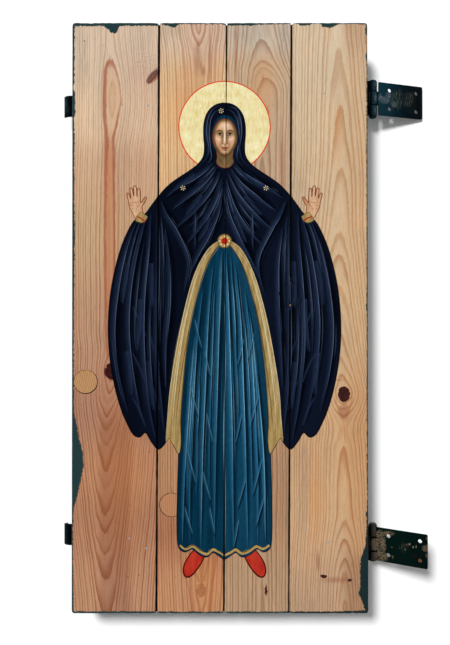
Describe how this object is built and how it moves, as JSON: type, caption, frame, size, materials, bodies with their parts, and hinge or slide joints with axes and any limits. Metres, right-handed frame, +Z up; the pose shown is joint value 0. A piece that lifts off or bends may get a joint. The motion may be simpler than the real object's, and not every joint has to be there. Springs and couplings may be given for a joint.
{
  "type": "religious icon",
  "caption": "Tall icon panel of tongue-and-groove boards on cross battens, with rolled-knuckle hinges on one long edge and curled catch strips on the other.",
  "frame": {"origin": "middle of the upper batten's back face, where a hanger is fixed", "axes": "+X to the right seen from the painted face, -Y out of the painted face, +Z up along the boards"},
  "size_m": [0.6055, 0.073, 0.946],
  "materials": {
    "board_wood": "oiled pine, worn, painted on its face",
    "plug_wood": "oiled pine plug",
    "batten_wood": "worn dark green paint on pine",
    "hinge_steel": "scratched dark green paint on sheet steel",
    "nail_steel": "dull grey steel",
    "rusted_steel": "rusted"
  },
  "bodies": {
    "panel": {"board_1": "board_wood", "board_2": "board_wood", "board_3": "board_wood", "board_4": "board_wood", "knot_plug_1": "plug_wood", "knot_plug_2": "plug_wood", "knot_plug_3": "plug_wood", "upper_batten": "batten_wood", "lower_batten": "batten_wood", "upper_batten_nail_1": "nail_steel", "upper_batten_nail_2": "nail_steel", "upper_batten_nail_3": "nail_steel", "upper_batten_nail_4": "nail_steel", "upper_batten_nail_5": "nail_steel", "upper_batten_nail_6": "nail_steel", "upper_batten_nail_7": "nail_steel", "upper_batten_nail_8": "nail_steel", "lower_batten_nail_1": "nail_steel", "lower_batten_nail_2": "nail_steel", "lower_batten_nail_3": "nail_steel", "lower_batten_nail_4": "nail_steel", "lower_batten_nail_5": "nail_steel", "lower_batten_nail_6": "nail_steel", "lower_batten_nail_7": "nail_steel", "upper_fixed_leaf": "hinge_steel", "upper_hinge_pin": "hinge_steel", "upper_hinge_nail_1": "nail_steel", "upper_hinge_nail_2": "nail_steel", "upper_hinge_nail_3": "nail_steel", "upper_hinge_nail_4": "nail_steel", "lower_fixed_leaf": "hinge_steel", "lower_hinge_pin": "hinge_steel", "lower_hinge_nail_1": "nail_steel", "lower_hinge_nail_2": "nail_steel", "lower_hinge_nail_3": "nail_steel", "lower_hinge_nail_4": "nail_steel", "upper_catch_strip": "hinge_steel", "upper_catch_nail_1": "nail_steel", "upper_catch_nail_2": "nail_steel", "lower_catch_strip": "hinge_steel", "lower_catch_nail_1": "nail_steel", "lower_catch_nail_2": "nail_steel"},
    "upper_leaf": {"upper_loose_leaf": "hinge_steel"},
    "lower_leaf": {"lower_loose_leaf": "hinge_steel", "rusted_nail_stub": "rusted_steel"}
  },
  "joints": [
    {"name": "upper_hinge", "type": "hinge", "parent": "panel", "child": "upper_leaf", "pos_m": [0.255, 0.007, 0.007], "axis": [0, 0, 1], "range_deg": [-107, 162]},
    {"name": "lower_hinge", "type": "hinge", "parent": "panel", "child": "lower_leaf", "pos_m": [0.255, 0.007, -0.7326], "axis": [0, 0, 1], "range_deg": [-60, 209]}
  ]
}
